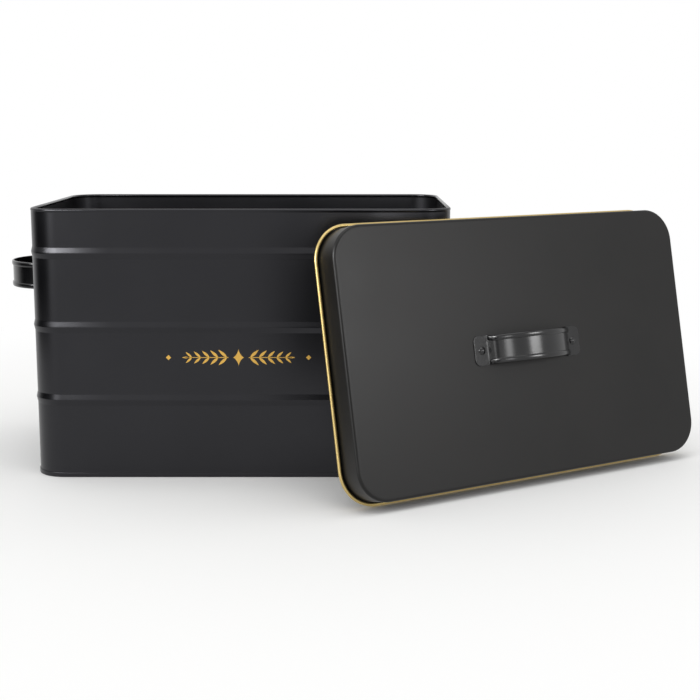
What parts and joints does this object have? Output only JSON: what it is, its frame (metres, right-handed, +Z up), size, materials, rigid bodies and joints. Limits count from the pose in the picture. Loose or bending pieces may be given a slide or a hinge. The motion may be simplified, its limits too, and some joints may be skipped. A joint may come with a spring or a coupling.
{
  "type": "metal storage box",
  "caption": "Rectangular tin storage box with pressed beads, riveted strap handles and a lift-off lid with a gold rolled edge, standing beside it.",
  "frame": {"origin": "centre of the box's foot, on the floor", "axes": "+X along the box to the right, the front faces -Y, +Z up"},
  "size_m": [0.5737, 0.3091, 0.213],
  "materials": {
    "black_box_lacquer": "satin black lacquer on tinplate",
    "black_lid_lacquer": "satin black lacquer on tinplate",
    "black_handle_lacquer": "semi-gloss black lacquer on steel strap",
    "black_rivet": "lacquered steel rivet",
    "gold_edge": "gold lacquered rolled edge"
  },
  "bodies": {
    "box": {"body_wall": "black_box_lacquer", "bottom_panel": "black_box_lacquer", "side_handle_left": "black_handle_lacquer", "side_handle_left_rivet_front": "black_rivet", "side_handle_left_rivet_rear": "black_rivet", "side_handle_right": "black_handle_lacquer", "side_handle_right_rivet_front": "black_rivet", "side_handle_right_rivet_rear": "black_rivet"},
    "lid": {"lid_shell": "black_lid_lacquer", "lid_edge_trim": "gold_edge", "lid_handle": "black_handle_lacquer", "lid_handle_rivet_left": "black_rivet", "lid_handle_rivet_right": "black_rivet"}
  },
  "joints": [
    {"name": "lid_lift", "type": "slide", "parent": "box", "child": "lid", "axis": [0, 0, 1], "range_m": [0, 0.25]}
  ]
}
